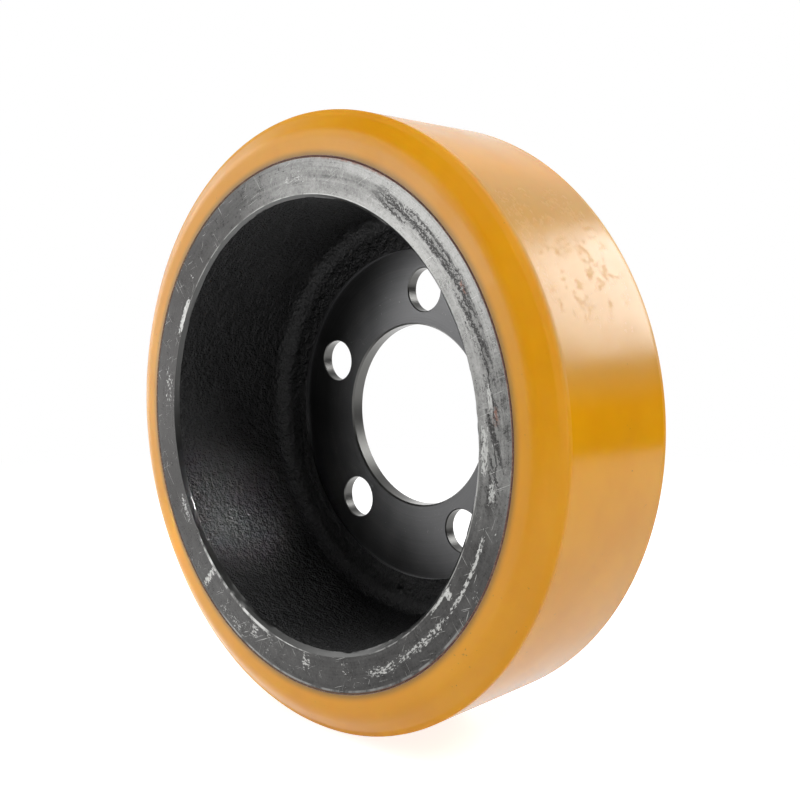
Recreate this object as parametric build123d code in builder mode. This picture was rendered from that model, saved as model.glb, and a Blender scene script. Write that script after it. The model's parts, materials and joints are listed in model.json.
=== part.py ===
from build123d import *
import math
import os

# Drive wheel: a one-piece cast iron hub with a polyurethane tread moulded and bonded on its rim.
# The axle line is Y, the open drum faces -Y, and the origin is the wheel's centre.
# Heights are measured along the axle from the wheel's middle, positive towards the drum's mouth.

# Hub rim and drum
rim_diameter = 213.5  # turned face that the tread is bonded to
wheel_width = 72.0  # between the two machined ring faces
rim_wall = 16.0  # between the turned face and the drum, at the foot of the mouth's chamfer
mouth_chamfer = 1.5
drum_draft_angle = 0.5  # degrees, the cast wall narrows towards the web
drum_corner_radius = 7.0  # cast fillet between the drum's wall and the ledge
ring_edge_break = 0.5  # on the rims of both machined ring faces

# Web, with its machined seat, pilot bore and wheel bolt holes
seat_diameter = 147.0
seat_depth = 1.2  # the seat is turned this far below the cast ledge
pilot_length = 6.8  # from the seat to the back of the pilot boss
pilot_bore_diameter = 81.0
pilot_bore_chamfer = 0.7
bolt_circle_diameter = 112.0
bolt_count = 5
bolt_hole_diameter = 19.0
bolt_hole_chamfer = 0.4
first_bolt_angle = 84.4  # degrees from +X towards +Z

# Back of the casting, where a relief leaves the pilot boss and the rim ring proud
relief_depth = 1.4
relief_corner_radius = 0.5
pilot_boss_wall = 4.0
rear_ring_wall = 18.0

# Tread
tread_thickness = 18.25
shoulder_width = 5.8  # bevel from the side face to the running face, along the axle
shoulder_height = 8.8  # the same bevel, measured radially
shoulder_radius = 10.0  # where the bevel leaves the side face
tread_edge_radius = 1.0  # where it meets the running face

# Radii and heights that follow from the sizes above
rim_radius = rim_diameter / 2
tread_radius = rim_radius + tread_thickness
drum_radius = rim_radius - rim_wall
mouth_radius = drum_radius + mouth_chamfer
seat_radius = seat_diameter / 2
pilot_bore_radius = pilot_bore_diameter / 2
pilot_boss_radius = pilot_bore_radius + pilot_boss_wall
rear_ring_radius = rim_radius - rear_ring_wall
mouth_height = wheel_width / 2
back_height = -mouth_height
seat_height = back_height + pilot_length
ledge_height = seat_height + seat_depth
relief_height = back_height + relief_depth
drum_depth = mouth_height - mouth_chamfer - ledge_height
drum_floor_radius = drum_radius - drum_depth * math.tan(math.radians(drum_draft_angle))

# Sections are drawn with the radius along X and the height along -Y, and turned about the axle
section_plane = Plane(origin=(0, 0, 0), x_dir=(1, 0, 0), z_dir=(0, 0, -1))
SAME = 1e-4


def rims(builder, radius, height):
    """The circular edges of a turned part at one radius and one height."""
    circles = builder.edges().filter_by(GeomType.CIRCLE)
    level = circles.filter_by(lambda edge: abs(edge.arc_center.Y + height) < SAME)
    return level.filter_by(lambda edge: abs(edge.radius - radius) < SAME)


with BuildPart(Plane.XZ) as wheel_hub:
    # Blank of the casting: rim, drum and web
    with BuildSketch(section_plane):
        with BuildLine():
            Polyline(
                (0, ledge_height),
                (drum_floor_radius, ledge_height),
                (drum_radius, mouth_height - mouth_chamfer),
                (mouth_radius, mouth_height),
                (rim_radius, mouth_height),
                (rim_radius, back_height),
                (0, back_height),
                close=True,
            )
        blank = make_face()
        drum_corner = blank.vertices().sort_by_distance((drum_floor_radius, ledge_height))[0]
        fillet(drum_corner, drum_corner_radius)
    revolve(axis=Axis.Y)

    # Relief cast into the back between the pilot boss and the rim ring
    with BuildSketch(Plane.XZ.offset(back_height)):
        Circle(rear_ring_radius)
        Circle(pilot_boss_radius, mode=Mode.SUBTRACT)
    extrude(amount=relief_depth, mode=Mode.SUBTRACT)
    fillet(rims(wheel_hub, rear_ring_radius, relief_height), relief_corner_radius)
    fillet(rims(wheel_hub, pilot_boss_radius, relief_height), relief_corner_radius)

    # Machined seat and pilot bore, then the bolt holes through the seat
    with Locations((0, 0, ledge_height)):
        CounterBoreHole(pilot_bore_radius, seat_radius, seat_depth)
    with Locations((0, 0, seat_height)):
        with PolarLocations(bolt_circle_diameter / 2, bolt_count, first_bolt_angle):
            Hole(bolt_hole_diameter / 2)

    # Broken edges
    chamfer(rims(wheel_hub, pilot_bore_radius, seat_height), pilot_bore_chamfer)
    chamfer(rims(wheel_hub, pilot_bore_radius, back_height), pilot_bore_chamfer)
    chamfer(rims(wheel_hub, rim_radius, mouth_height), ring_edge_break)
    chamfer(rims(wheel_hub, rim_radius, back_height), ring_edge_break)
    chamfer(rims(wheel_hub, rear_ring_radius, back_height), ring_edge_break)
    chamfer(rims(wheel_hub, pilot_boss_radius, back_height), ring_edge_break)
    chamfer(rims(wheel_hub, bolt_hole_diameter / 2, seat_height), bolt_hole_chamfer)
    chamfer(rims(wheel_hub, bolt_hole_diameter / 2, relief_height), bolt_hole_chamfer)

with BuildPart() as tread:
    # A straight running face with a bevelled shoulder at each side
    with BuildSketch(section_plane):
        with BuildLine():
            Polyline(
                (rim_radius, mouth_height),
                (tread_radius - shoulder_height, mouth_height),
                (tread_radius, mouth_height - shoulder_width),
                (tread_radius, back_height + shoulder_width),
                (tread_radius - shoulder_height, back_height),
                (rim_radius, back_height),
                close=True,
            )
        profile = make_face()
        fillet(profile.vertices().group_by(Axis.X)[1], shoulder_radius)
        fillet(profile.vertices().group_by(Axis.X)[-1], tread_edge_radius)
    revolve(axis=Axis.Y)

wheel_hub.part.label = "wheel_hub"
tread.part.label = "tread"

os.makedirs("parts", exist_ok=True)
export_step(wheel_hub.part, "parts/wheel_hub.step")
export_step(tread.part, "parts/tread.step")
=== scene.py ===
"""The looks of a cast iron drive wheel with a polyurethane tread bonded on its rim.

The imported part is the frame: the axle line is Y, the open drum faces -Y and the origin is the wheel's centre.
Sections are drawn in millimetres as radius and y, and are turned about Y into meshes in metres. Angles on the
wheel are in degrees from +X towards +Z.
"""

from __future__ import annotations

import json
import logging
import math
from dataclasses import dataclass, field
from enum import Enum
from functools import reduce
from typing import Callable, Mapping, Sequence, Union

import bmesh
import bpy
import numpy as np
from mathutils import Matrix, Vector, geometry, noise

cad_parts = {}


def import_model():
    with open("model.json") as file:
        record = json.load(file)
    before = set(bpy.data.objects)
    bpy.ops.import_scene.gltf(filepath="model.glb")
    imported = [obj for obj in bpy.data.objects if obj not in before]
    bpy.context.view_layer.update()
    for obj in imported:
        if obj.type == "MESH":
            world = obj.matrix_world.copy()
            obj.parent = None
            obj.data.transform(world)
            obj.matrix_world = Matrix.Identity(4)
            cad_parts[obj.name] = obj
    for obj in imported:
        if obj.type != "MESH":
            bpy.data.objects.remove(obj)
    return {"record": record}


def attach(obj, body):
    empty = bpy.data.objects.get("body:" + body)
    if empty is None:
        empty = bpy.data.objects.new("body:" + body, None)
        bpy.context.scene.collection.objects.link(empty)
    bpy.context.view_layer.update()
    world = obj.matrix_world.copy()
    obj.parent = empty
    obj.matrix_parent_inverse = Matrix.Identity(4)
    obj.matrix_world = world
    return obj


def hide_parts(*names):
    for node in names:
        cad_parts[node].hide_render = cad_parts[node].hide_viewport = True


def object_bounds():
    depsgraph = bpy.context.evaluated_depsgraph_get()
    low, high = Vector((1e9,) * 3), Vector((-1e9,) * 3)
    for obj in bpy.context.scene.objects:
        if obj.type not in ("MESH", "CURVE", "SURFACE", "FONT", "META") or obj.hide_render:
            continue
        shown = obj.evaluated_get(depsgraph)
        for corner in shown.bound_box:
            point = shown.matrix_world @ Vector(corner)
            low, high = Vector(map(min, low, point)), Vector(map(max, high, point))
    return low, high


LOG = logging.getLogger("drive_wheel")
MILLIMETRE = 0.001  # metres
SEED_STEP = (37.7, 11.3, 23.9)  # how far apart the noises of a material are read
RIM = 100.0  # millimetres, the radius at which lathe marks have the stated length
PLAIN_SPACING = 100.0  # millimetres, for a straight leg that needs no rows between its ends
WELD_DISTANCE = 2e-6  # metres
SHARP_ANGLE = math.radians(28.0)

Colour = tuple[float, float, float]
Value = Union["Signal", float]


class Zone(Enum):
    """The surfaces of the wheel that have a finish of their own."""

    RING = "turned_ring"
    MOUTH = "mouth_chamfer"
    DRUM = "cast_drum"
    LEDGE = "cast_ledge"
    SEAT = "turned_seat"
    BORE = "bored_edges"
    RELIEF = "cast_relief"
    TREAD = "moulded_tread"
    BOND = "bond_line"


def scaled(colour: Colour, factor: float) -> Colour:
    """A colour made darker or lighter."""
    return (colour[0] * factor, colour[1] * factor, colour[2] * factor)


def facing(azimuth: float, elevation: float) -> Vector:
    """The direction at an azimuth from -Y towards +X and an elevation, in degrees, one unit long."""
    turn, rise = math.radians(azimuth), math.radians(elevation)
    return Vector((math.sin(turn) * math.cos(rise), -math.cos(turn) * math.cos(rise), math.sin(rise)))


def turned_from(angles: np.ndarray, centre: float) -> np.ndarray:
    """Angles as counted from a centre in degrees, up to half a turn each way, in radians."""
    return (angles - math.radians(centre) + math.pi) % (2 * math.pi) - math.pi


def point_at(radius: float, y: float, angle: float) -> Vector:
    """The point at a radius, a height along the axle and an angle in radians."""
    return Vector((radius * math.cos(angle), y, radius * math.sin(angle)))


class Signal:
    """One value or vector in a shader tree; arithmetic on it adds Math nodes."""

    def __init__(self, graph: "Graph", socket: bpy.types.NodeSocket) -> None:
        """Wraps an output socket of the graph."""
        self.graph = graph
        self.socket = socket

    def other(self, output: str) -> "Signal":
        """Another output of the same node."""
        return Signal(self.graph, self.socket.node.outputs[output])

    def _math(self, operation: str, *values: Value) -> "Signal":
        """Adds one Math node with its inputs in order, and returns its result."""
        return self.graph.node("ShaderNodeMath", {"operation": operation}, dict(enumerate(values)))

    def __add__(self, other: Value) -> "Signal":
        """Sum of two values."""
        return self._math("ADD", self, other)

    def __mul__(self, other: Value) -> "Signal":
        """Product of two values."""
        return self._math("MULTIPLY", self, other)

    def __sub__(self, other: Value) -> "Signal":
        """Difference of two values."""
        return self._math("SUBTRACT", self, other)

    def __rsub__(self, other: Value) -> "Signal":
        """Difference with the plain number first."""
        return self._math("SUBTRACT", other, self)

    def __truediv__(self, other: Value) -> "Signal":
        """Quotient of two values."""
        return self._math("DIVIDE", self, other)

#### END
    def __abs__(self) -> "Signal":
        """Size of the value without its sign."""
        return self._math("ABSOLUTE", self)

    def greatest(self, other: Value) -> "Signal":
        """The larger of two values."""
        return self._math("MAXIMUM", self, other)

    def least(self, other: Value) -> "Signal":
        """The smaller of two values."""
        return self._math("MINIMUM", self, other)

    def root(self) -> "Signal":
        """Square root of the value."""
        return self._math("SQRT", self)

    def step(self, low: float, high: float) -> "Signal":
        """Rises smoothly from 0 at low to 1 at high, or falls where low is above high.

        Args:
            low: The value that gives 0.
            high: The value that gives 1.

        Returns:
            The eased value.
        """
        settings = {"interpolation_type": "SMOOTHSTEP"}
        inputs = {"Value": self, "From Min": low, "From Max": high}
        if low > high:
            inputs = {"Value": self, "From Min": high, "From Max": low, "To Min": 1.0, "To Max": 0.0}
        return self.graph.node("ShaderNodeMapRange", settings, inputs)


class Graph:
    """The node tree of a material or a world."""

    def __init__(self, tree: bpy.types.NodeTree) -> None:
        """Empties the tree."""
        self.tree = tree
        self.tree.nodes.clear()

    def node(
        self,
        kind: str,
        settings: Mapping[str, object] | None = None,
        inputs: Mapping[Union[str, int], object] | None = None,
        output: Union[str, int] = 0,
    ) -> Signal:
        """Adds any node: its settings first, then the values or links of its sockets.

        Args:
            kind: The node's type name.
            settings: Its properties.
            inputs: Numbers, colours or signals by socket name or index.
            output: The socket that is returned.

        Returns:
            The chosen output.
        """
        made = self.tree.nodes.new(kind)
        for key, value in (settings or {}).items():
            setattr(made, key, value)
        for key, value in (inputs or {}).items():
            if isinstance(value, Signal):
                self.tree.links.new(value.socket, made.inputs[key])
            else:
                made.inputs[key].default_value = value
        return Signal(self, made.outputs[output])

    def mix(self, factor: Signal, first: Signal, second: Signal) -> Signal:
        """Mixes two shaders, where a factor of 1 gives the second."""
        return self.node("ShaderNodeMixShader", inputs={0: factor, 1: first, 2: second})

    def close(self, kind: str, shader: Signal) -> None:
        """Links a shader to an output node of the kind that the tree has."""
        out = self.tree.nodes.new(kind)
        self.tree.links.new(shader.socket, out.inputs["Surface"])

    def seen_rays(self) -> tuple[Signal, Signal]:
        """1 for rays from the camera, and 1 for rays that a glossy or clear surface sends on."""
        camera = self.node("ShaderNodeLightPath", output="Is Camera Ray")
        return camera, camera.other("Is Glossy Ray").greatest(camera.other("Is Transmission Ray"))


class Finish(Graph):
    """The node tree of one material, with the places on a turned part that its finish is written in."""

    def __init__(self, name: str) -> None:
        """Makes an empty material and its place signals, in millimetres.

        Args:
            name: The material's name.
        """
        self.material = bpy.data.materials.new(name)
        self.material.use_nodes = True
        super().__init__(self.material.node_tree)
        self._seed = 0
        place = {0: self.node("ShaderNodeTexCoord", output="Object"), "Scale": 1 / MILLIMETRE}
        self.place = self.node("ShaderNodeVectorMath", {"operation": "SCALE"}, place)
        self.x = self.node("ShaderNodeSeparateXYZ", inputs={0: self.place}, output="X")
        self.y = self.x.other("Y")
        self.z = self.x.other("Z")
        self.radius = (self.x * self.x + self.z * self.z).root()
        self.cos = self.x / self.radius
        self.sin = self.z / self.radius

#### END
    def combine(self, x: Value, y: Value, z: Value) -> Signal:
        """A vector from three values."""
        return self.node("ShaderNodeCombineXYZ", inputs={"X": x, "Y": y, "Z": z})

    def grain(
        self, size: float, detail: float = 3.0, place: Signal | None = None, contrast: float = 0.5
    ) -> Signal:
        """Noise from 0 to 1 whose lumps are about one size, different at each call.

        Args:
            size: The lumps' size in millimetres, or in the place's own units.
            detail: How many finer layers there are.
            place: Where it is read, the point on the part unless given.
            contrast: The roughness of the finer layers.

        Returns:
            The noise value.
        """
        self._seed += 1
        offset = tuple(self._seed * step for step in SEED_STEP)
        moved = self.node("ShaderNodeVectorMath", {"operation": "ADD"}, {0: place or self.place, 1: offset})
        inputs = {"Vector": moved, "Scale": 1.0 / size, "Detail": detail, "Roughness": contrast}
        return self.node("ShaderNodeTexNoise", inputs=inputs, output="Fac")

    def turned(self, along: float, across: float) -> Signal:
        """A place in which lathe marks of a length round the axle, at RIM, and of a width are one unit."""
        return self.combine(self.cos * (RIM / along), self.sin * (RIM / along), self.radius / across)

    def sector(self, centre: float, half: float, soft: float) -> Signal:
        """1 inside a range of angles about the axle, and 0 outside.

        Args:
            centre: The middle angle in degrees.
            half: Half of the range in degrees.
            soft: The width of the eased border outside it in degrees.

        Returns:
            The mask.
        """
        middle = math.radians(centre)
        nearness = self.cos * math.cos(middle) + self.sin * math.sin(middle)
        outer = math.cos(math.radians(min(half + soft, 180.0)))
        return nearness.step(outer, math.cos(math.radians(half)))

    def belt(self, value: Signal, centre: Value, half: float, soft: float) -> Signal:
        """1 where a value lies within half a width of a centre, eased to 0 over a soft border outside it."""
        return abs(value - centre).step(half + soft, half)

    def blend(self, mask: Value, first: object, second: object) -> Signal:
        """Mixes two colours.

        Args:
            mask: 0 gives the first and 1 the second.
            first: A colour, as red, green and blue or a signal.
            second: The other colour.

        Returns:
            The mixed colour.
        """
        plain = [(*c, 1.0) if isinstance(c, tuple) else c for c in (first, second)]
        inputs = {0: mask, 6: plain[0], 7: plain[1]}
        return self.node("ShaderNodeMix", {"data_type": "RGBA"}, inputs, output=2)

    def bump(self, height: Signal, under: Signal | None = None) -> Signal:
        """A normal from a height in millimetres, over another bump where one is given.

        Args:
            height: The height.
            under: The bump beneath it.

        Returns:
            The normal.
        """
        inputs = {"Strength": 1.0, "Distance": MILLIMETRE, "Height": height}
        if under is not None:
            inputs["Normal"] = under
        return self.node("ShaderNodeBump", inputs=inputs)

    def finish(self, **sockets: object) -> bpy.types.Material:
        """Closes the material with a Principled shader.

        Args:
            sockets: Its inputs by name, with _ for a space; colours as three numbers or a signal.

        Returns:
            The finished material.
        """
        inputs = {}
        for name, value in sockets.items():
            is_colour = isinstance(value, tuple) and name.endswith(("Color", "Tint"))
            inputs[name.replace("_", " ")] = (*value, 1.0) if is_colour else value
        self.close("ShaderNodeOutputMaterial", self.node("ShaderNodeBsdfPrincipled", inputs=inputs))
        return self.material


@dataclass(frozen=True)
class Patch:
    """A place on a turned face where scuffs gather, as its middle and spread.

    Attributes:
        angle: Middle in degrees.
        span: Half of its length in degrees.
        radius: Middle in millimetres.
        width: Half of its width in millimetres.
        cover: How much of it is marked, from 0 to 1.
    """

    angle: float
    span: float
    radius: float
    width: float
    cover: float = 0.5

    def mask(self, graph: Finish) -> Signal:
        """How strongly the patch marks each point.

        Args:
            graph: The material's graph.

        Returns:
            The mask, from 0 to the patch's cover.
        """
        along = graph.sector(self.angle, self.span * 0.5, self.span)
        across = graph.belt(graph.radius, self.radius, self.width * 0.4, self.width)
        return along * across * self.cover


@dataclass(frozen=True)
class TurnedRing:
    """The machined ring faces: dull turned iron, with scraped places that show pale metal.

    Attributes:
        scratch_turns: The angle of each set of scratches in degrees, and the noise above which it shows.
        patches: The places where scuffs gather.
    """

    dark: Colour = (0.052, 0.051, 0.05)
    pale: Colour = (0.44, 0.44, 0.425)
    soot_and_painted_shade: Colour = (0.028, 0.026, 0.025)
    rust: Colour = (0.17, 0.065, 0.04)
    inner_radius: float = 92.25
    outer_radius: float = 106.25
    groove_radius: float = 99.4
    outer_sheen_radius: float = 104.0
    inner_sheen_radius: float = 94.5
    rust_spots: tuple[Patch, ...] = (Patch(33.0, 1.2, 101.0, 0.8, 1.0), Patch(7.0, 1.5, 100.0, 1.3, 1.0))
    scratch_turns: tuple[tuple[float, float], ...] = ((23.0, 0.70), (71.0, 0.72), (128.0, 0.71))
    patches: tuple[Patch, ...] = (
        Patch(152.0, 5.0, 93.6, 1.5, 0.95),
        Patch(92.0, 4.0, 99.0, 2.0, 0.45),
        Patch(10.5, 2.6, 98.4, 1.1, 0.85),
        Patch(0.5, 5.0, 94.6, 1.8, 0.75),
        Patch(-8.0, 2.2, 98.8, 1.6, 0.7),
        Patch(-27.0, 10.0, 99.0, 1.0, 0.75),
        Patch(-34.0, 1.0, 94.4, 2.2, 0.9),
        Patch(-36.5, 4.0, 93.2, 0.6, 0.95),
        Patch(-48.0, 9.0, 98.8, 1.9, 0.6),
        Patch(-63.0, 5.0, 99.5, 2.4, 0.6),
        Patch(-89.5, 1.5, 97.0, 3.6, 0.6),
        Patch(-110.0, 1.3, 97.5, 4.0, 0.6),
        Patch(-119.0, 5.0, 102.0, 2.2, 0.4),
        Patch(-131.9, 0.9, 99.0, 7.0, 0.75),
        Patch(-152.0, 4.0, 95.5, 1.6, 0.6),
        Patch(174.0, 5.0, 97.0, 3.5, 0.4),
    )

    def dress(self) -> bpy.types.Material:
        """Makes the material.

        Returns:
            The material of the ring faces.
        """
        g = Finish(Zone.RING.value)
        lines = g.grain(1.0, 4.0, g.turned(160.0, 0.45), 0.65)
        broad = g.grain(1.0, 3.0, g.turned(30.0, 2.4))
        mottle = g.grain(6.0, 5.0, contrast=0.65)
        fine = g.grain(0.8, 4.0, contrast=0.75)
        crumbs = g.grain(1.0, 5.0, g.turned(1.7, 0.75), 0.65)
        worn = self._worn_places(g, crumbs)
        rims = self._rim_lines(g)
        groove = self._groove(g)
        scratches = self._scratches(g)
        pale = worn.greatest(rims).greatest(scratches)
        # Painted highlight: a broad sector at the ring's upper right is painted paler, with stronger marks.
        painted_sheen = g.sector(48.0, 42.0, 30.0)
        marks = lines + broad * 0.8 + mottle * 1.4 + fine * 1.8 - 2.5
        tone = marks * (painted_sheen * 0.5 + 0.7) + 0.5 + self._painted_sheen_bands(g)
        colour = g.blend(tone, scaled(self.dark, 0.5), scaled(self.dark, 1.7))
        colour = g.blend(painted_sheen * (tone * 0.28 + 0.15), colour, self.pale)
        # Painted shade: the ring's left side is darkened towards the soot colour.
        colour = g.blend(g.sector(172.0, 26.0, 26.0) * 0.55, colour, self.soot_and_painted_shade)
        colour = g.blend(self._stains(g), colour, self.rust)
        colour = g.blend((groove * 0.95).greatest(fine.step(0.37, 0.3) * 0.6), colour, self.soot_and_painted_shade)
        colour = g.blend(pale, colour, self.pale)
        rough = mottle * 0.22 + lines * 0.12 + fine * 0.16 + 0.06
        height = lines * 0.04 + fine * 0.05 + broad * 0.02 + worn * 0.05 - groove * 0.16 - scratches * 0.03
        return g.finish(
            Base_Color=colour,
            Metallic=1.0 - (groove * 0.5).greatest(worn * 0.35),
            Roughness=rough,
            Normal=g.bump(height),
        )

    def _worn_places(self, g: Finish, crumbs: Signal) -> Signal:
        """Crumbled pale places, thick inside the patches and rare elsewhere.

        Args:
            g: The material's graph.
            crumbs: The noise that breaks them up.

        Returns:
            The mask.
        """
        gather = reduce(Signal.greatest, [patch.mask(g) for patch in self.patches])
        rare = g.grain(9.0, 2.0).step(0.56, 0.74) * 0.3
        return (crumbs + gather.greatest(rare) * 0.34).step(0.68, 0.76)

    def _rim_lines(self, g: Finish) -> Signal:
        """Thin bright wear on the two rims of the ring.

        Args:
            g: The material's graph.

        Returns:
            The mask.
        """
        flaws = g.grain(1.0, 4.0, g.turned(6.0, 40.0), 0.6)
        inner = g.belt(g.radius, self.inner_radius, 0.25, 0.35)
        inner_where = (g.sector(108.0, 38.0, 8.0) * 0.55).greatest(g.sector(-116.0, 22.0, 8.0))
        inner_where = inner_where.greatest(g.sector(-35.0, 25.0, 10.0) * 0.6)
        band = g.belt(g.radius, self.inner_radius + 0.7, 0.5, 0.5) * g.sector(-122.0, 15.0, 6.0)
        outer = g.belt(g.radius, self.outer_radius - 0.5, 0.22, 0.4)
        outer_where = g.sector(-80.0, 38.0, 10.0) * 0.42
        edges = (inner * inner_where).greatest(outer * outer_where).greatest(band)
        return (edges * 0.9 * flaws.step(0.36, 0.6)).least(1.0)

    def _painted_sheen_bands(self, g: Finish) -> Signal:
        """Two bands at the ring's upper right that are painted brighter as a highlight, outside and inside the
        groove.

        Args:
            g: The material's graph.

        Returns:
            How much brighter they are.
        """
        # Painted highlight on the ring's upper right.
        outer = g.belt(g.radius, self.outer_sheen_radius, 1.2, 1.6) * g.sector(48.0, 24.0, 10.0)
        inner = g.belt(g.radius, self.inner_sheen_radius, 1.6, 2.0) * g.sector(38.0, 24.0, 14.0)
        return outer.greatest(inner) * 0.45

    def _groove(self, g: Finish) -> Signal:
        """The crumbled dark line worn round the right side of the ring, with its dirt.

        Args:
            g: The material's graph.

        Returns:
            The mask.
        """
        jitter = (g.grain(1.0, 2.0, g.turned(1.6, 60.0), 0.6) - 0.5) * 1.6
        wander = (g.grain(1.0, 3.0, g.turned(9.0, 60.0), 0.6) - 0.5) * 4.0 + jitter
        where = g.sector(26.0, 34.0, 7.0)
        # One noisy value in all three coordinates, so that the cells' edges follow its contours
        run = (g.cos + g.sin) * (RIM / 10.2) + g.radius / 4.5 + g.grain(1.1, 3.0) * 1.1
        cells = g.node(
            "ShaderNodeTexVoronoi",
            {"feature": "DISTANCE_TO_EDGE"},
            {"Vector": g.combine(run, run, run), "Scale": 1.0},
            output="Distance",
        )
        cracks = cells.step(0.12, 0.05) * g.belt(g.radius, wander + self.groove_radius, 1.9, 1.4)
        width = (g.grain(1.0, 3.0, g.turned(3.0, 2.0), 0.7) - 0.36) * 1.7
        line = (abs(g.radius - wander - self.groove_radius) - width).step(0.12, -0.12)
        broken = g.grain(0.7, 3.0, contrast=0.7).step(0.34, 0.44)
        return cracks.greatest(line) * broken * where

    def _scratches(self, g: Finish) -> Signal:
        """Straight fine scratches that cross the turning lines at random.

        Args:
            g: The material's graph.

        Returns:
            The mask.
        """
        hairs = []
        for turn, keep in self.scratch_turns:
            tilt = math.radians(turn)
            along = g.x * math.cos(tilt) + g.z * math.sin(tilt)
            across = g.z * math.cos(tilt) - g.x * math.sin(tilt)
            hair = g.grain(1.0, 2.0, g.combine(along * 0.09, across * 2.4, 0.0))
            hairs.append(hair.step(keep, keep + 0.03))
        return reduce(Signal.greatest, hairs) * 0.6

    def _stains(self, g: Finish) -> Signal:
        """Two rusty specks by the groove and a reddish tint at the bond.

        Args:
            g: The material's graph.

        Returns:
            The mask.
        """
        spots = reduce(Signal.greatest, [spot.mask(g) for spot in self.rust_spots])
        edge = g.belt(g.radius, self.outer_radius, 0.2, 0.7) * g.sector(74.0, 8.0, 6.0)
        return (spots * 0.75).greatest(edge * 0.6) * g.grain(1.2, 3.0).step(0.35, 0.6)


@dataclass(frozen=True)
class TurnedSeat:
    """The seat, the bore, the bolt holes and the mouth's chamfer: darker turned iron with an oily film."""

    name: str = Zone.SEAT.value
    colour: Colour = (0.125, 0.125, 0.127)
    roughness: float = 0.31
    feed: float = 0.5
    fleck: Colour = (0.4, 0.4, 0.39)

    def dress(self) -> bpy.types.Material:
        """Makes the material.

        Returns:
            The material of the machined surfaces inside the drum.
        """
        g = Finish(self.name)
        lines = g.grain(1.0, 3.0, g.turned(220.0, self.feed), 0.6)
        film = g.grain(14.0, 4.0)
        specks = g.grain(1.3, 4.0, contrast=0.7)
        rings = g.grain(1.0, 2.0, g.turned(90.0, 4.0))
        tone = (lines * 0.4 + film * 0.5 + rings * 0.3 - 0.1).step(0.2, 0.85)
        colour = g.blend(tone, scaled(self.colour, 0.7), self.colour)
        colour = g.blend(specks.step(0.66, 0.72) * 0.4, colour, self.fleck)
        return g.finish(
            Base_Color=colour,
            Metallic=1.0,
            Roughness=film * 0.14 + lines * 0.08 + (self.roughness - 0.1),
            Normal=g.bump(lines * 0.02 + specks * 0.012),
        )


@dataclass(frozen=True)
class CastSkin:
    """Black painted casting skin, grainy where sand left its print."""

    name: str = Zone.DRUM.value
    colour: Colour = (0.005, 0.005, 0.0053)
    dust: Colour = (0.013, 0.013, 0.0132)
    roughness: float = 0.47
    grain_height: float = 1.3

    def dress(self) -> bpy.types.Material:
        """Makes the material.

        Returns:
            The material of the cast surfaces.
        """
        g = Finish(self.name)
        lumps = g.grain(3.2, 3.0, contrast=0.6)
        sand = g.grain(1.15, 3.0, contrast=0.65)
        wash = g.grain(22.0, 3.0)
        colour = g.blend((sand * 0.5 + wash * 0.6).step(0.45, 0.75), self.colour, self.dust)
        return g.finish(
            Base_Color=colour,
            Roughness=sand * 0.2 + wash * 0.12 + (self.roughness - 0.16),
            Normal=g.bump(lumps * (self.grain_height * 1.6) + sand * self.grain_height),
        )


@dataclass(frozen=True)
class Polyurethane:
    """Amber cast polyurethane: glossy, a little translucent, browner beside the bond."""

    amber: Colour = (0.92, 0.405, 0.003)
    deep: Colour = (0.87, 0.365, 0.002)
    dark_brown: Colour = (0.27, 0.15, 0.028)
    highlight_tint: Colour = (0.52, 0.37, 0.16)
    bond_radius: float = 106.75
    side_height: float = 36.0
    lip_radius: float = 124.0
    lip_height: float = 28.0

    def dress(self) -> bpy.types.Material:
        """Makes the material.

        Returns:
            The material of the tread.
        """
        g = Finish(Zone.TREAD.value)
        cloud = g.grain(34.0, 3.0)
        lines = g.grain(1.0, 3.0, g.turned(400.0, 0.8), 0.6)
        on_side = abs(g.y).step(self.side_height - 7.0, self.side_height - 5.0)
        by_bond = (g.radius - self.bond_radius).step(4.5, 0.2) * on_side
        scuffs = self._scuffs(g)
        specks = g.grain(1.4, 2.0).step(0.72, 0.75) * g.grain(30.0, 2.0).step(0.46, 0.6)
        colour = g.blend(cloud.step(0.35, 0.65), self.amber, self.deep)
        # Darker and browner towards the bond.
        colour = g.blend(by_bond * by_bond * 0.85, colour, self.dark_brown)
        # Painted highlight: the running face is tinted paler where the lamp's reflection falls.
        painted_highlight = g.sector(30.0, 12.0, 12.0) * (1.0 - on_side)
        colour = g.blend(painted_highlight * 0.48, colour, self.highlight_tint)
        colour = g.blend(specks * 0.5, colour, self.dark_brown)
        film = g.grain(18.0, 2.0).step(0.42, 0.62)
        by_side = abs(g.y).step(self.lip_height, self.lip_height + 1.0)
        lip = g.belt(g.radius, self.lip_radius, 0.8, 1.0) * by_side
        rough = film * 0.05 + scuffs * 0.2 + on_side * 0.16 + lip * 0.25 + painted_highlight * 0.05 + 0.17
        height = lines * on_side * 0.035 + g.grain(3.0, 2.0) * 0.008 + scuffs * 0.015
        return g.finish(
            Base_Color=colour,
            Roughness=rough,
            IOR=1.5,
            Subsurface_Weight=0.25,
            Subsurface_Radius=(1.0, 0.45, 0.12),
            Subsurface_Scale=0.004,
            Normal=g.bump(height),
        )

    @staticmethod
    def _scuffs(g: Finish) -> Signal:
        """Faint rubbed blotches on the upper right of the running face.

        Args:
            g: The material's graph.

        Returns:
            The mask.
        """
        marks = g.grain(2.6, 5.0, contrast=0.75).step(0.5, 0.58)
        where = g.sector(33.0, 9.0, 6.0) * g.grain(8.0, 3.0).step(0.46, 0.54)
        return marks * where * g.belt(g.y, -2.0, 18.0, 8.0)


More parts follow.
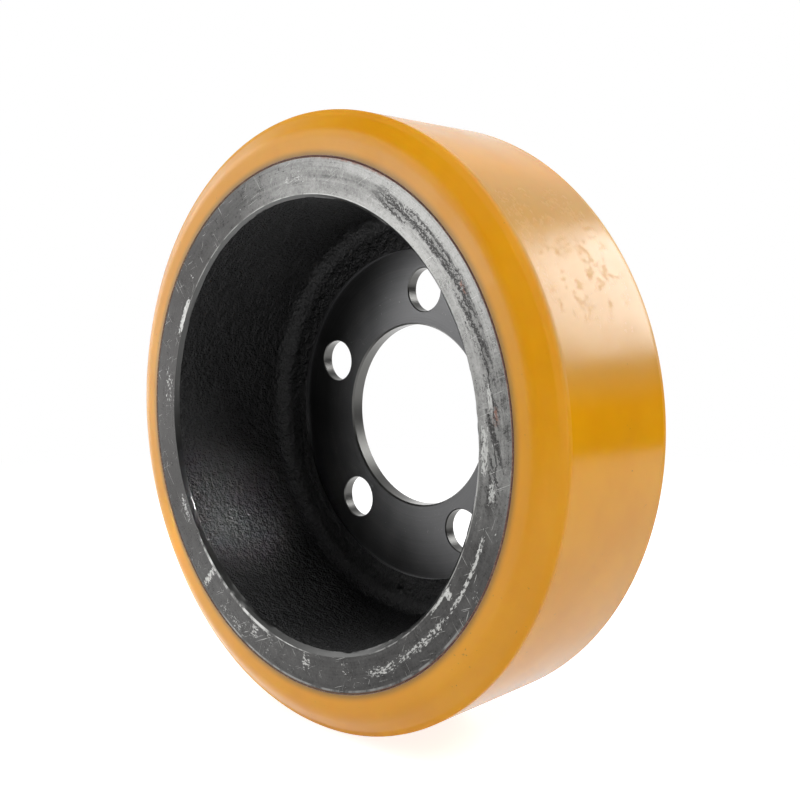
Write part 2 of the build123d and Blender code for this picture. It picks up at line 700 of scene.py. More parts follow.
@dataclass(frozen=True)
class BondLine:
    """The brown adhesive line between the ring and the tread."""

    colour: Colour = (0.2, 0.1, 0.08)
    pale: Colour = (0.36, 0.24, 0.17)
    edge: Colour = (0.2, 0.115, 0.07)

    def dress(self) -> bpy.types.Material:
        """Makes the material.

        Returns:
            The material of the bond line.
        """
        g = Finish(Zone.BOND.value)
        crumbs = g.grain(0.8, 3.0, contrast=0.6)
        colour = g.blend(g.sector(18.0, 60.0, 40.0), self.edge, self.colour)
        colour = g.blend(crumbs.step(0.5, 0.66), colour, self.pale)
        return g.finish(Base_Color=colour, Roughness=0.55, Normal=g.bump(crumbs * 0.15))


@dataclass(frozen=True)
class Corner:
    """A corner of a section, and the leg that starts at it.

    Attributes:
        radius: Distance from the axle in millimetres.
        y: Place along the axle in millimetres.
        zone: The finish of the leg after the corner.
        spacing: Distance between the rows of vertices on that leg.
        rounding: Radius of the corner's own fillet, 0 for a sharp one.
        rough: How much of the casting's unevenness the leg carries.
    """

    radius: float
    y: float
    zone: Zone
    spacing: float = 5.0
    rounding: float = 0.0
    rough: float = 0.0

    @property
    def place(self) -> np.ndarray:
        """The corner's radius and y together."""
        return np.array((self.radius, self.y))


@dataclass
class Row:
    """One ring of vertices in a section."""

    radius: float
    y: float
    zone: Zone
    rough: float
    normal: tuple[float, float] = (0.0, 0.0)


class Section:
    """An open outline in the plane of the axle, cut into the rows of vertices that are turned."""

    def __init__(self, corners: Sequence[Corner], closed: bool = False) -> None:
        """Samples the outline.

        Args:
            corners: The corners in order.
            closed: Whether the last corner joins the first.
        """
        self.closed = closed
        self.rows: list[Row] = []
        count = len(corners)
        for index, corner in enumerate(corners):
            before = corners[index - 1] if index or closed else None
            after = corners[(index + 1) % count] if index + 1 < count or closed else None
            self._add_corner(before, corner, after)
            if after is not None:
                self._add_leg(corner, after, self._cut(corner, after, corners, index))
        self._set_normals()

    @staticmethod
    def _trim(before: Corner, corner: Corner, after: Corner) -> tuple[np.ndarray, np.ndarray, float, float]:
        """Where a rounded corner starts and ends on its legs.

        Args:
            before: The corner before it.
            corner: The rounded corner.
            after: The corner after it.

        Returns:
            The unit directions into and out of it, the length cut from each leg, and its angle in radians.
#### END

        """
        into = corner.place - before.place
        out = after.place - corner.place
        into = into / np.linalg.norm(into)
        out = out / np.linalg.norm(out)
        turn = math.acos(float(np.clip(into @ out, -1.0, 1.0)))
        return into, out, corner.rounding * math.tan(turn / 2), turn

    def _cut(self, corner: Corner, after: Corner, corners: Sequence[Corner], index: int) -> tuple[float, float]:
        """Lengths that the fillets at both ends take from a leg.

        Args:
            corner: The leg's first corner.
            after: The leg's last corner.
            corners: All the corners.
            index: The first corner's index.

        Returns:
            The lengths cut at the start and at the end.
        """
        count = len(corners)
        start = 0.0
        end = 0.0
        if corner.rounding:
            start = self._trim(corners[index - 1], corner, after)[2]
        if after.rounding:
            end = self._trim(corner, after, corners[(index + 2) % count])[2]
        return start, end

    def _add_corner(self, before: Corner | None, corner: Corner, after: Corner | None) -> None:
        """Adds the rows of a corner: one, or an arc where it is rounded.

        Args:
            before: The corner before it, where there is one.
            corner: The corner.
            after: The corner after it, where there is one.
        """
        if not corner.rounding or before is None or after is None:
            self._add_row(corner.place, corner.zone, corner.rough)
            return
        into, out, cut, turn = self._trim(before, corner, after)
        start = corner.place - into * cut
        side = out - into * float(into @ out)
        side = side / np.linalg.norm(side)
        centre = start + side * corner.rounding
        steps = max(3, round(corner.rounding * turn / min(before.spacing, corner.spacing)))
        for step in range(steps + 1):
            angle = turn * step / steps
            point = centre + corner.rounding * (math.sin(angle) * into - math.cos(angle) * side)
            rough = before.rough + (corner.rough - before.rough) * step / steps
            self._add_row(point, corner.zone, rough)

    def _add_leg(self, corner: Corner, after: Corner, cut: tuple[float, float]) -> None:
        """Adds the rows between two corners.

        Args:
            corner: The leg's first corner.
            after: The leg's last corner.
            cut: The lengths that fillets take from its ends.
        """
        leg = after.place - corner.place
        length = float(np.linalg.norm(leg))
        usable = length - cut[0] - cut[1]
        steps = max(1, round(usable / corner.spacing))
        for step in range(1, steps):
            point = corner.place + leg / length * (cut[0] + usable * step / steps)
            self._add_row(point, corner.zone, corner.rough)

    def _add_row(self, place: np.ndarray, zone: Zone, rough: float) -> None:
        """Adds one row at a radius and y."""
        self.rows.append(Row(float(place[0]), float(place[1]), zone, rough))

    def _set_normals(self) -> None:
        """Gives each row the direction in which its unevenness moves it, square to the outline."""
        for index, row in enumerate(self.rows):
            before = self.rows[max(index - 1, 0)]
            after = self.rows[min(index + 1, len(self.rows) - 1)]
            run = (after.radius - before.radius, after.y - before.y)
            length = math.hypot(*run) or 1.0
            row.normal = (run[1] / length, -run[0] / length)


class TurnedMesh:
    """The faces of one turned piece, gathered zone by zone and welded into one mesh."""

    def __init__(self, segments: int) -> None:
        """Starts an empty mesh.

        Args:
            segments: How many steps one turn has.
        """
        self.angles = np.linspace(0.0, 2 * math.pi, segments, endpoint=False)
        self.points: list[np.ndarray] = []
        self.faces: list[list[int]] = []
        self.zones: list[Zone] = []
        self._count = 0

    def _add_points(self, points: np.ndarray) -> int:
        """Adds points.

        Args:
            points: Their places in millimetres.

        Returns:
            The index of the first.
        """
        first = self._count
        self.points.append(points.reshape(-1, 3))
        self._count += len(self.points[-1])
        return first

    def _add_rings(self, rings: np.ndarray, zones: Sequence[Zone], closed: bool) -> None:
        """Joins rings of points with faces.

        Args:
            rings: The points of each ring in millimetres.
            zones: The finish of the faces that start at each ring.
            closed: Whether the last ring joins the first.
        """
        first = self._add_points(rings)
        count, steps = rings.shape[:2]
        for index in range(count if closed else count - 1):
            below = first + index * steps
            above = first + (index + 1) % count * steps
            for step in range(steps):
                after = (step + 1) % steps
                self.faces.append([below + step, below + after, above + after, above + step])
                self.zones.append(zones[index])

    def turn(self, section: Section, shape: Callable[[Row, np.ndarray], tuple[np.ndarray, np.ndarray]]) -> None:
        """Turns a section about Y.

        Args:
            section: The outline.
            shape: Gives a row's radii and heights at all angles, with its unevenness.
        """
        rings = []
        for row in section.rows:
            radii, heights = shape(row, self.angles)
            ring = (radii * np.cos(self.angles), heights, radii * np.sin(self.angles))
            rings.append(np.stack(ring, axis=-1))
        self._add_rings(np.array(rings), [row.zone for row in section.rows], section.closed)

    def pierce(self, plate: "PiercedPlate", zone: Zone) -> None:
        """Adds a flat ring with round holes.

        Args:
            plate: The ring.
            zone: Its finish.
        """
        points, triangles = plate.triangulate(self.angles)
        first = self._add_points(points)
        for triangle in triangles:
            self.faces.append([first + corner for corner in triangle])
            self.zones.append(zone)

    def bore(
        self, centre: tuple[float, float], steps: int, rows: Sequence[tuple[float, float]], zone: Zone
    ) -> None:
        """Adds the wall of a round hole along Y.

        Args:
            centre: The hole's x and z in millimetres.
            steps: How many steps its circle has.
            rows: Radius and y of each ring of its wall.
            zone: Its finish.
        """
        turn = np.linspace(0.0, 2 * math.pi, steps, endpoint=False)
        rings = []
        for radius, y in rows:
            ring = (centre[0] + radius * np.cos(turn), np.full(steps, y), centre[1] + radius * np.sin(turn))
            rings.append(np.stack(ring, axis=-1))
        self._add_rings(np.array(rings), [zone] * len(rows), closed=False)

    def build(self, name: str, materials: Mapping[Zone, bpy.types.Material]) -> bpy.types.Object:
        """Welds the faces into one object in metres.

        Args:
            name: The piece's name.
            materials: The material of each zone in the mesh.

        Returns:
            The new object, in the scene.
        """
        used = [zone for zone in materials if zone in self.zones]
        mesh = bpy.data.meshes.new(name)
        mesh.from_pydata((np.concatenate(self.points) * MILLIMETRE).tolist(), [], self.faces)
        for zone in used:
            mesh.materials.append(materials[zone])
        slots = {zone: index for index, zone in enumerate(used)}
        mesh.polygons.foreach_set("material_index", [slots[zone] for zone in self.zones])
        work = bmesh.new()
        work.from_mesh(mesh)
        bmesh.ops.remove_doubles(work, verts=work.verts, dist=WELD_DISTANCE)
        bmesh.ops.recalc_face_normals(work, faces=work.faces)
        work.to_mesh(mesh)
        work.free()
        mesh.shade_smooth()
        mesh.set_sharp_from_angle(angle=SHARP_ANGLE)
        piece = bpy.data.objects.new(name, mesh)
        bpy.context.scene.collection.objects.link(piece)
        return piece


@dataclass(frozen=True)
class PiercedPlate:
    """A flat ring across the axle with a circle of round holes.

    Attributes:
        inner: Radius of its inner edge in millimetres.
        outer: Radius of its outer edge.
        y: Its place along the axle.
        holes: The x and z of each hole.
        hole_radius: The holes' radius in this plane.
        hole_steps: How many steps a hole's circle has.
        spacing: Distance between the points inside the ring.
        tolerance: Distance under which two points are the same.
    """

    inner: float
    outer: float
    y: float
    holes: tuple[tuple[float, float], ...]
    hole_radius: float
    hole_steps: int
    spacing: float = 4.0
    tolerance: float = 1e-6

    def triangulate(self, angles: np.ndarray) -> tuple[np.ndarray, list[list[int]]]:
        """Covers the ring with triangles.

        Args:
            angles: The angles of the points on the inner and outer edges.

        Returns:
            The points in millimetres, and the triangles between them.
        """
        turn = np.linspace(0.0, 2 * math.pi, self.hole_steps, endpoint=False)
        loops = [self._circle((0.0, 0.0), radius, angles) for radius in (self.inner, self.outer)]
        loops += [self._circle(hole, self.hole_radius, turn) for hole in self.holes]
        flat: list[tuple[float, float]] = []
        edges: list[tuple[int, int]] = []
        for loop in loops:
            start = len(flat)
            flat += loop
            edges += [(start + i, start + (i + 1) % len(loop)) for i in range(len(loop))]
        flat += self._inside_points()
        coords = [Vector(point) for point in flat]
        out, _, faces, *_ = geometry.delaunay_2d_cdt(coords, edges, [], 0, self.tolerance)
        points = np.array([(p.x, self.y, p.y) for p in out])
        return points, [list(f) for f in faces if self._covers(points[list(f)].mean(axis=0))]

    @staticmethod
    def _circle(centre: tuple[float, float], radius: float, angles: np.ndarray) -> list[tuple[float, float]]:
        """Points of a circle at the given angles."""
        return [(centre[0] + radius * math.cos(a), centre[1] + radius * math.sin(a)) for a in angles]

    def _inside_points(self) -> list[tuple[float, float]]:
        """Points between the edges that keep the triangles even.

        Returns:
            The points, in the plate's plane.
        """
        points = []
        rings = round((self.outer - self.inner) / self.spacing)
        for ring in range(1, rings):
            radius = self.inner + (self.outer - self.inner) * ring / rings
            count = round(2 * math.pi * radius / self.spacing)
            for step in range(count):
                angle = 2 * math.pi * (step + ring % 2 / 2) / count
                point = (radius * math.cos(angle), radius * math.sin(angle))
                if all(math.dist(point, hole) > self.hole_radius + self.spacing / 2 for hole in self.holes):
                    points.append(point)
        return points

    def _covers(self, middle: np.ndarray) -> bool:
        """Whether the middle of a triangle lies on the plate.

        Args:
            middle: The triangle's middle in millimetres.

        Returns:
            True where it lies on the plate.
        """
        place = (float(middle[0]), float(middle[2]))
        if not self.inner < math.hypot(*place) < self.outer:
            return False
        return all(math.dist(place, hole) > self.hole_radius for hole in self.holes)


@dataclass(frozen=True)
class Chip:
    """A bite out of the mouth's edge: its angle and half length in degrees, and its depth in millimetres."""

    angle: float
    span: float
    depth: float


@dataclass(frozen=True)
class Pit:
    """A blowhole in the cast ledge.

    Attributes:
        angle: Its angle in degrees.
        radius: Its distance from the axle in millimetres.
        width: Half of its width in millimetres.
        depth: Its depth in millimetres.
    """

    angle: float
    radius: float
    width: float
    depth: float


@dataclass
class HubCasting:
    """The one-piece iron hub: drum, web, seat, pilot boss and rim ring.

    Lengths are in millimetres. The fields without a value are read from the record or follow from the others.

    Attributes:
        record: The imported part's record.
        unevenness: How far the cast skin's unevenness moves it.
        broad_waves: Waves per millimetre of its broad part, and that part's share.
        lump_waves: Waves per millimetre of its lumps.
        lump_layers: How the lumps' finer layers fade, how much finer each is, and how many there are.
        runout: How far the mouth's chamfer is off centre, towards runout_angle in degrees.
        runout_reach: How far down the drum that fades.
        ripple: The chamfer's own waviness.
        chip_reach: How far over the ring a chip goes.
        chip_drop: How deep it goes along the axle, as a share of its depth.
    """

    record: Mapping[str, object]
    half_width: float = 36.0
    rim_radius: float = 106.75
    edge_break: float = 0.5
    drum_radius: float = 90.75
    mouth_chamfer: float = 1.5
    draft: float = math.radians(0.5)
    drum_corner: float = 7.0
    seat_radius: float = 73.5
    seat_depth: float = 1.2
    bore_chamfer: float = 0.7
    hole_chamfer: float = 0.4
    first_hole: float = 84.4
    relief_depth: float = 1.4
    relief_rounding: float = 0.5
    boss_wall: float = 4.0
    rear_ring_wall: float = 18.0
    segments: int = 720
    hole_steps: int = 96
    unevenness: float = 0.16
    broad_waves: tuple[float, float] = (0.055, 1.6)
    lump_waves: float = 0.33
    lump_layers: tuple[float, float, int] = (0.9, 2.1, 3)
    runout: float = 0.45
    runout_angle: float = -125.0
    runout_reach: float = 24.0
    ripple: float = 0.22
    ripple_waves: float = 9.0
    chip_reach: float = 2.5
    chip_drop: float = 0.35
    chips: tuple[Chip, ...] = (
        Chip(-117.5, 1.6, 0.5),
        Chip(-122.5, 0.9, 0.3),
        Chip(-139.0, 1.2, 0.35),
        Chip(-144.0, 0.8, 0.3),
        Chip(-129.0, 1.0, 0.25),
        Chip(-34.0, 1.0, 0.5),
        Chip(148.0, 3.0, 0.35),
    )
    pits: tuple[Pit, ...] = (
        Pit(122.0, 80.2, 1.5, 1.1),
        Pit(-95.4, 81.9, 2.0, 1.6),
        Pit(-94.0, 79.8, 1.0, 0.6),
        Pit(-58.0, 78.5, 1.3, 0.8),
        Pit(31.0, 80.6, 1.1, 0.7),
    )
    bore_radius: float = field(init=False)
    seat_y: float = field(init=False)
    hole_radius: float = field(init=False)
    hole_circle: float = field(init=False)
    hole_count: int = field(init=False)
    relief_y: float = field(init=False)
    mouth_radius: float = field(init=False)
    foot_y: float = field(init=False)

    def __post_init__(self) -> None:
        """Takes the bore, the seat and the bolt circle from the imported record, and works out what follows."""
        mounts = {mount["name"]: mount for mount in self.record["mounts"]}
        bolts = mounts["wheel_bolts"]["dims"]
        self.bore_radius = mounts["pilot_bore"]["dims"]["r_mm"]
        self.seat_y = mounts["seat"]["pos_m"][1] / MILLIMETRE
        self.hole_radius = bolts["hole_r_mm"]
        self.hole_circle = bolts["pcd_mm"] / 2
        self.hole_count = bolts["count"]
        self.relief_y = self.half_width - self.relief_depth
        self.mouth_radius = self.drum_radius + self.mouth_chamfer
        self.foot_y = -self.half_width + self.mouth_chamfer

    def holes(self) -> tuple[tuple[float, float], ...]:
        """The x and z of the bolt holes in millimetres.

        Returns:
            The holes' middles.
        """
        step = 2 * math.pi / self.hole_count
        turns = [math.radians(self.first_hole) + step * index for index in range(self.hole_count)]
        return tuple((self.hole_circle * math.cos(a), self.hole_circle * math.sin(a)) for a in turns)

    def front(self) -> Section:
        """The outline from the hidden rim over the front ring into the drum, down to the seat's edge.

        Returns:
            The front section.
        """
        ledge = self.seat_y - self.seat_depth
        floor = self.drum_radius - (ledge - self.foot_y) * math.tan(self.draft)
        return Section([
            Corner(self.rim_radius, 0.0, Zone.RING, PLAIN_SPACING),
            Corner(self.rim_radius, -self.half_width + self.edge_break, Zone.BOND, 0.3),
            Corner(self.rim_radius - self.edge_break, -self.half_width, Zone.RING, 1.6),
            Corner(self.mouth_radius, -self.half_width, Zone.MOUTH, 0.5),
            Corner(self.drum_radius, self.foot_y, Zone.DRUM, 1.0, rough=1.0),
            Corner(floor, ledge, Zone.LEDGE, 0.7, self.drum_corner, rough=1.3),
            Corner(self.seat_radius, ledge, Zone.SEAT, 0.6),
            Corner(self.seat_radius, self.seat_y, Zone.SEAT),
        ])

    def back(self) -> Section:
        """The outline from the hidden rim over the rear ring into the relief.

        Returns:
            The back section.
        """
        ring = self.rim_radius - self.rear_ring_wall
        return Section([
            Corner(self.rim_radius, 0.0, Zone.RING, PLAIN_SPACING),
            Corner(self.rim_radius, self.half_width - self.edge_break, Zone.BOND, 0.3),
            Corner(self.rim_radius - self.edge_break, self.half_width, Zone.RING, PLAIN_SPACING),
            Corner(ring + self.edge_break, self.half_width, Zone.RING, 0.3),
            Corner(ring, self.half_width - self.edge_break, Zone.RELIEF, 0.5),
            Corner(ring, self.relief_y, Zone.RELIEF, 0.4, self.relief_rounding),
            Corner(ring - self.relief_rounding, self.relief_y, Zone.RELIEF),
        ])

    def pilot(self) -> Section:
        """The outline through the pilot bore and over its boss at the back.

        Returns:
            The pilot boss's section.
        """
        bore = self.bore_radius
        boss = bore + self.boss_wall
        return Section([
            Corner(bore + self.bore_chamfer, self.seat_y, Zone.BORE, 0.4),
            Corner(bore, self.seat_y + self.bore_chamfer, Zone.BORE, PLAIN_SPACING),
            Corner(bore, self.half_width - self.bore_chamfer, Zone.BORE, 0.4),
            Corner(bore + self.bore_chamfer, self.half_width, Zone.RING, PLAIN_SPACING),
            Corner(boss - self.edge_break, self.half_width, Zone.RING, 0.3),
            Corner(boss, self.half_width - self.edge_break, Zone.RELIEF, 0.5),
            Corner(boss, self.relief_y, Zone.RELIEF, 0.4, self.relief_rounding),
            Corner(boss + self.relief_rounding, self.relief_y, Zone.RELIEF),
        ])

    def shape(self, row: Row, angles: np.ndarray) -> tuple[np.ndarray, np.ndarray]:
        """A row's radii and heights, with the cast skin's unevenness and the mouth's chipped edge.

        Args:
            row: The row.
            angles: The angles of its vertices in radians.

        Returns:
            The radii and the heights in millimetres.
        """
        radii = np.full(len(angles), row.radius)
        heights = np.full(len(angles), row.y)
        if row.rough:
            lift = self._lumps(row, angles) * row.rough * self.unevenness
            radii = radii + lift * row.normal[0]
            heights = heights + lift * row.normal[1]
        if row.zone is Zone.LEDGE:
            heights = heights + self._pit_depth(row, angles)
        return self._wear_mouth(row, angles, radii, heights)

    def _pit_depth(self, row: Row, angles: np.ndarray) -> np.ndarray:
        """How deep the blowholes are at the vertices of one row of the ledge.

        Args:
            row: The row.
            angles: The angles of its vertices in radians.

        Returns:
            The depths in millimetres.
        """
        depth = np.zeros(len(angles))
        for pit in self.pits:
            turn = turned_from(angles, pit.angle)
            away = np.hypot(turn * row.radius, row.radius - pit.radius) / pit.width
            depth = np.maximum(depth, pit.depth * np.clip(1.0 - away**2, 0.0, 1.0))
        return depth

    def _lumps(self, row: Row, angles: np.ndarray) -> np.ndarray:
        """Noise about 0 for the vertices of one row, in lumps of a few millimetres on broader ones.

        Args:
            row: The row.
            angles: The angles of its vertices in radians.

        Returns:
            The noise at each vertex.
        """
        waves, share = self.broad_waves
        lift = []
        for angle in angles:
            place = point_at(row.radius, row.y, angle)
            broad = noise.noise(place * waves) * share
            lift.append(broad + noise.fractal(place * self.lump_waves, *self.lump_layers))
        return np.array(lift)

    def _wear_mouth(
        self, row: Row, angles: np.ndarray, radii: np.ndarray, heights: np.ndarray
    ) -> tuple[np.ndarray, np.ndarray]:
        """Lets the chamfer wander as on a casting that runs out, and bites chips from its edge.

        Args:
            row: The row.
            angles: The angles of its vertices.
            radii: Their radii so far.
            heights: Their heights so far.

        Returns:
            The changed radii and heights.
        """
        if row.zone in (Zone.MOUTH, Zone.DRUM) and row.y <= 0.0:
            places = [Vector((math.cos(a), math.sin(a), 0.3)) * self.ripple_waves for a in angles]
            ripple = np.array([noise.noise(place) for place in places]) * self.ripple
            wander = self.runout * np.cos(angles - math.radians(self.runout_angle)) + ripple
            share = max(0.0, 1.0 - (row.y - self.foot_y) / self.runout_reach)
            if row.y < self.foot_y:
                share = (self.mouth_radius - row.radius) / self.mouth_chamfer
            radii = radii - wander * share
            if row.y <= self.foot_y:
                heights = heights + wander * share
        reach = row.radius - self.mouth_radius
        if row.zone in (Zone.MOUTH, Zone.RING) and row.y == -self.half_width and reach < self.chip_reach:
            share = 1.0 - reach / self.chip_reach
            for chip in self.chips:
                off = np.degrees(turned_from(angles, chip.angle))
                bite = chip.depth * np.clip(1.0 - (off / chip.span) ** 2, 0.0, 1.0) * share
                radii = radii + bite
                heights = heights + bite * self.chip_drop
        return radii, heights

    def build(self) -> bpy.types.Object:
        """Makes the hub's mesh and dresses it.

        Returns:
            The piece that stands for the cast hub.
        """
        mesh = TurnedMesh(self.segments)
        for section in (self.front(), self.back(), self.pilot()):
            mesh.turn(section, self.shape)
        holes = self.holes()
        wide = self.hole_radius + self.hole_chamfer
        relief_inner = self.bore_radius + self.boss_wall + self.relief_rounding
        relief_outer = self.rim_radius - self.rear_ring_wall - self.relief_rounding
        for inner, outer, y, zone in (
            (self.bore_radius + self.bore_chamfer, self.seat_radius, self.seat_y, Zone.SEAT),
            (relief_inner, relief_outer, self.relief_y, Zone.RELIEF),
        ):
            mesh.pierce(PiercedPlate(inner, outer, y, holes, wide, self.hole_steps), zone)
        rows = (
            (wide, self.seat_y),
            (self.hole_radius, self.seat_y + self.hole_chamfer),
            (self.hole_radius, self.relief_y - self.hole_chamfer),
            (wide, self.relief_y),
        )
        for hole in holes:
            mesh.bore(hole, self.hole_steps, rows, Zone.BORE)
        return mesh.build("hub_casting", self.finishes())

    @staticmethod
    def finishes() -> dict[Zone, bpy.types.Material]:
        """The material of each zone of the hub.

        Returns:
            The materials by zone.
        """
        return {
            Zone.RING: TurnedRing().dress(),
            Zone.MOUTH: TurnedSeat(Zone.MOUTH.value, (0.1, 0.1, 0.098), 0.3, 0.3).dress(),
            Zone.DRUM: CastSkin().dress(),
            Zone.LEDGE: CastSkin(Zone.LEDGE.value, roughness=0.35, grain_height=0.8).dress(),
            Zone.SEAT: TurnedSeat().dress(),
            Zone.BORE: TurnedSeat(Zone.BORE.value, (0.2, 0.198, 0.19), 0.36, 0.4).dress(),
            Zone.RELIEF: CastSkin(Zone.RELIEF.value, grain_height=0.25).dress(),
            Zone.BOND: BondLine().dress(),
        }


@dataclass
class TreadMoulding:
    """The polyurethane tread with its bevelled shoulders.

    Attributes:
        lip: The small bevel where the tread meets the bond, in millimetres.
        waviness: How far the moulding's waviness moves it, in millimetres.
        wave_shift: How much of that it is moved inwards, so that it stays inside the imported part.
        waves: How many waves there are to a millimetre.
        plain_rim: How far from the bond the waviness starts.
    """

    half_width: float = 36.0
    bond_radius: float = 106.75
    running_radius: float = 125.0
    shoulder_width: float = 5.8
    shoulder_height: float = 8.8
    shoulder_rounding: float = 10.0
    edge_rounding: float = 1.0
    lip: float = 0.4
    segments: int = 640
    waviness: float = 0.035
    wave_shift: float = 0.5
    waves: float = 0.04
    plain_rim: float = 1.0

    def section(self) -> Section:
        """The closed outline of the tread.

        Returns:
            The tread's section.
        """
        front = self._side(-1.0)
        back = self._side(1.0)
        return Section(front + back[::-1], closed=True)

    def _side(self, side: float) -> list[Corner]:
        """The corners of one half, from the bond to the running face.

        Args:
            side: -1 for the front half and 1 for the back.

        Returns:
            The corners in order from the bond outwards.
        """
        face = self.half_width * side
        lip = (self.half_width - self.lip) * side
        edge = (self.half_width - self.shoulder_width) * side
        # The back half is turned from its last corner to its first, so its legs start at their outer ends
        inner, outer, bond_spacing, edge_spacing = (
            (Zone.BOND, Zone.TREAD, 0.2, 1.8) if side < 0 else (Zone.TREAD, Zone.BOND, PLAIN_SPACING, 0.6)
        )
        return [
            Corner(self.bond_radius, lip, inner, bond_spacing),
            Corner(self.bond_radius + self.lip, face, outer, 1.5),
            Corner(self.running_radius - self.shoulder_height, face, Zone.TREAD, 0.6, self.shoulder_rounding),
            Corner(self.running_radius, edge, Zone.TREAD, edge_spacing, self.edge_rounding),
        ]

    def shape(self, row: Row, angles: np.ndarray) -> tuple[np.ndarray, np.ndarray]:
        """A row's radii and heights, with the faint waviness of a moulding.

        Args:
            row: The row.
            angles: The angles of its vertices in radians.

        Returns:
            The radii and the heights in millimetres.
        """
        heights = np.full(len(angles), row.y)
        if row.radius < self.bond_radius + self.plain_rim:
            return np.full(len(angles), row.radius), heights
        wave = np.array([noise.noise(point_at(row.radius, row.y, angle) * self.waves) for angle in angles])
        return row.radius + (wave - self.wave_shift) * self.waviness, heights

    def build(self) -> bpy.types.Object:
        """Makes the tread's mesh and dresses it.

        Returns:
            The piece that stands for the moulded tread.
        """
        mesh = TurnedMesh(self.segments)
        mesh.turn(self.section(), self.shape)
        finishes = {Zone.TREAD: Polyurethane().dress(), Zone.BOND: BondLine().dress()}
        return mesh.build("tread_moulding", finishes)


@dataclass(frozen=True)
class Softbox:
    """An area lamp that faces the wheel.

    Attributes:
        name: What it is called.
        azimuth: Its direction from the wheel, in degrees from -Y towards +X.
        elevation: Its height above the horizon in degrees.
        size: Its width and height in metres.
        watts: Its power.
        distance: How far from the wheel's centre it hangs, in metres.
        aim: The point that it faces, in metres.
        spread: The angle of its beam in degrees, 180 for a plain softbox.
    """

    name: str
    azimuth: float
    elevation: float
    size: tuple[float, float]
    watts: float
    distance: float = 1.25
    aim: tuple[float, float, float] = (0.0, 0.0, 0.0)
    spread: float = 180.0

    def hang(self) -> None:
        """Puts the lamp in the scene, hidden from the camera."""
        lamp = bpy.data.lights.new(self.name, "AREA")
        lamp.shape = "RECTANGLE"
        lamp.size, lamp.size_y = self.size
        lamp.energy = self.watts
        lamp.spread = math.radians(self.spread)
        holder = bpy.data.objects.new(self.name, lamp)
        holder.location = facing(self.azimuth, self.elevation) * self.distance
        holder.rotation_euler = (Vector(self.aim) - holder.location).to_track_quat("-Z", "Y").to_euler()
        holder.visible_camera = False
        bpy.context.scene.collection.objects.link(holder)


@dataclass
class Studio:
    """The pale floor, the white surroundings, the lamps and the camera, in metres and degrees.

    Attributes:
        floor_glow: Light that the floor adds round the wheel, which keeps the shadow faint.
        shadow_edge: Distance from the middle where the floor starts to turn plain white, and where it is.
        sunny_edge: The x where the mirrored floor starts to brighten, and where it is brightest.
        ambient: Strength of the room.
        backdrop_azimuth: The direction of the white backdrop that the wheel mirrors.
        backdrop_edge: Nearness to that direction where it starts, and where it is full.
        bright_side: Strength of the bright low side that the wheel mirrors.
        bright_edge: Nearness to its direction where it starts, and where it is full.
        camera_dip: How far the camera looks down.
    """
#### END


    floor_height: float
    floor_radius: float = 0.85
    floor_steps: int = 96
    floor_colour: Colour = (0.82, 0.82, 0.82)
    floor_glow: float = 0.8
    shadow_edge: tuple[float, float] = (0.32, 0.8)
    sunny_edge: tuple[float, float] = (0.05, -0.15)
    ambient: float = 0.03
    backdrop_azimuth: float = 226.0
    backdrop_edge: tuple[float, float] = (0.3, 0.8)
    bright_side: float = 1.9
    bright_azimuth: float = 300.0
    bright_elevation: float = -24.0
    bright_edge: tuple[float, float] = (0.88, 0.95)
    camera_place: tuple[float, float, float] = (0.3123, -0.2989, 0.0496)
    camera_heading: float = 44.417
    camera_dip: float = 5.406
    lens: float = 45.83
    sensor: float = 36.0
    clip: tuple[float, float] = (0.01, 20.0)
    softboxes: tuple[Softbox, ...] = (
        Softbox("behind_right", 157.0, 25.5, (0.60, 0.52), 5.6),
        Softbox("behind_left", 216.0, 8.0, (0.50, 0.40), 1.0),
        Softbox("overhead", 60.0, 65.0, (0.36, 0.36), 5.1),
        Softbox("raking_right", 76.0, 45.0, (0.30, 0.30), 3.0),
        Softbox("right", 62.0, 2.0, (0.14, 0.40), 2.3),
        Softbox("front_left", 321.0, 8.0, (0.46, 0.36), 2.3),
        Softbox("front_high", 325.0, 31.0, (0.80, 0.60), 2.4),
        Softbox("left", 286.0, 14.0, (0.30, 0.50), 1.0, distance=0.6),
        Softbox(
            "drum_accent",
            52.0,
            42.0,
            (0.03, 0.03),
            0.019,
            distance=0.55,
            aim=(-0.077, -0.019, -0.048),
            spread=5.0,
        ),
    )

    def floor(self) -> bpy.types.Object:
        """Lays the floor, white to the camera apart from the wheel's own shadow.

        Returns:
            The floor.
        """
        mesh = bpy.data.meshes.new("floor")
        work = bmesh.new()
        bmesh.ops.create_circle(work, cap_ends=True, segments=self.floor_steps, radius=self.floor_radius)
        work.to_mesh(mesh)
        work.free()
        floor = bpy.data.objects.new("floor", mesh)
        floor.location.z = self.floor_height
        bpy.context.scene.collection.objects.link(floor)
        g = Finish("floor_paper")
        away = (g.x * g.x + g.y * g.y).root() * MILLIMETRE
        paper = g.node("ShaderNodeBsdfDiffuse", inputs={"Color": (*self.floor_colour, 1.0)})
        white = g.node("ShaderNodeEmission", inputs={"Strength": 1.0})
        faint = g.node("ShaderNodeEmission", inputs={"Strength": self.floor_glow})
        lit = g.node("ShaderNodeAddShader", inputs={0: paper, 1: faint})
        shown = g.mix(away.step(*self.shadow_edge), lit, white)
        sunny = g.node("ShaderNodeEmission", inputs={"Strength": self.bright_side})
        mirror = g.mix((g.x * MILLIMETRE).step(*self.sunny_edge), white, sunny)
        camera, mirrored = g.seen_rays()
        g.close("ShaderNodeOutputMaterial", g.mix(camera, g.mix(mirrored, paper, mirror), shown))
        mesh.materials.append(g.material)
        return floor

    def surround(self) -> None:
        """Sets the world, white to the camera: the wheel mirrors a dim room, a backdrop and a bright side."""
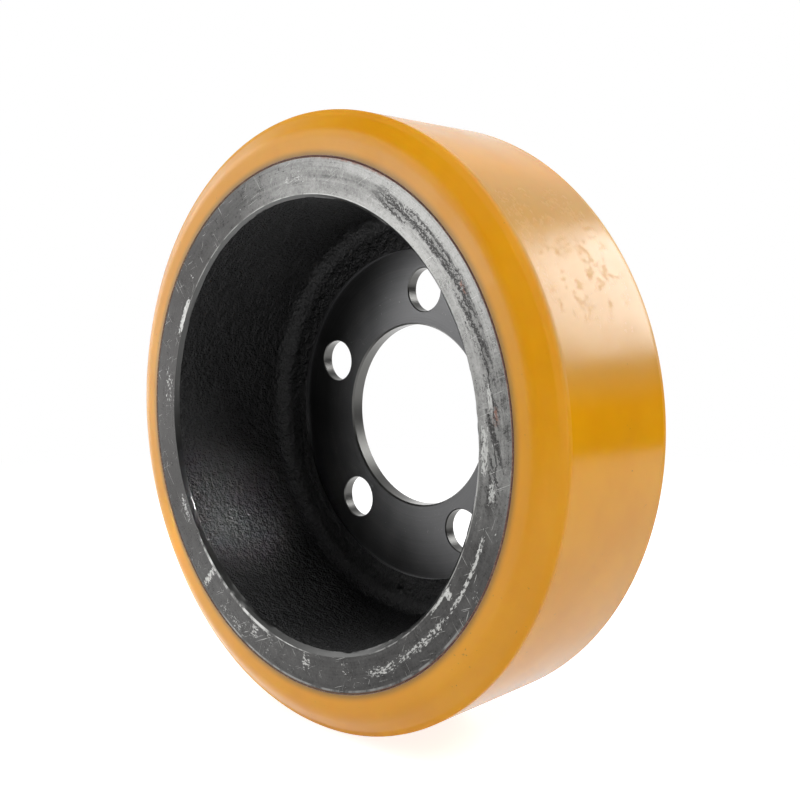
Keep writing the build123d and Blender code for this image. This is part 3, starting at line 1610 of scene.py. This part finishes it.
#### END

        world = bpy.data.worlds.new("studio_room")
        bpy.context.scene.world = world
        world.use_nodes = True
        g = Graph(world.node_tree)
        direction = g.node("ShaderNodeTexCoord", output="Generated")
        paper = {"Color": (1.0, 1.0, 1.0, 1.0)}
        room = g.node("ShaderNodeBackground", inputs={**paper, "Strength": self.ambient})
        white = g.node("ShaderNodeBackground", inputs=paper)
        sunny = g.node("ShaderNodeBackground", inputs={**paper, "Strength": self.bright_side})
        backdrop = self._nearness(g, direction, facing(self.backdrop_azimuth, 0.0)).step(*self.backdrop_edge)
        low_left = facing(self.bright_azimuth, self.bright_elevation)
        bright = self._nearness(g, direction, low_left).step(*self.bright_edge)
        around = g.mix(bright, g.mix(backdrop, room, white), sunny)
        camera, mirrored = g.seen_rays()
        g.close("ShaderNodeOutputWorld", g.mix(camera, g.mix(mirrored, room, around), white))

    @staticmethod
    def _nearness(g: Graph, direction: Signal, target: Vector) -> Signal:
        """How nearly a direction of the world is a target direction, 1 for exactly."""
        vectors = {0: direction, 1: target}
        return g.node("ShaderNodeVectorMath", {"operation": "DOT_PRODUCT"}, vectors, output="Value")
#### END


    def camera(self) -> None:
        """Makes the camera at the photograph's angle and sets it."""
        data = bpy.data.cameras.new("camera")
        data.lens = self.lens
        data.sensor_width = self.sensor
        data.clip_start, data.clip_end = self.clip
#### END

        camera = bpy.data.objects.new("camera", data)
        camera.location = self.camera_place
        tilt = math.radians(90.0 - self.camera_dip)
        camera.rotation_euler = (tilt, 0.0, math.radians(self.camera_heading))
        bpy.context.scene.collection.objects.link(camera)
        bpy.context.scene.camera = camera

    def build(self) -> bpy.types.Object:
        """Sets up the whole studio.

        Returns:
            The floor.
        """
        scene = bpy.context.scene
        scene.view_settings.view_transform = "Standard"
        for softbox in self.softboxes:
            softbox.hang()
        self.surround()
        self.camera()
        return self.floor()


def main() -> None:
    """Builds and dresses the wheel, then its studio."""
    logging.basicConfig(level=logging.INFO, format="%(name)s: %(message)s")
    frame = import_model()
    cad_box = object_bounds()
    hub = HubCasting(frame["record"])
    for piece, node, slot in (
        (hub.build(), "wheel_hub", "hub_iron"),
        (TreadMoulding().build(), "tread", "polyurethane"),
    ):
        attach(piece, "root")
        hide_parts(node)
        piece.data.calc_loop_triangles()
        LOG.info("%s: %d triangles", piece.name, len(piece.data.loop_triangles))
#### END

    floor = Studio(floor_height=cad_box[0].z).build()
    LOG.info("studio built")


if __name__ == "__main__":
    main()
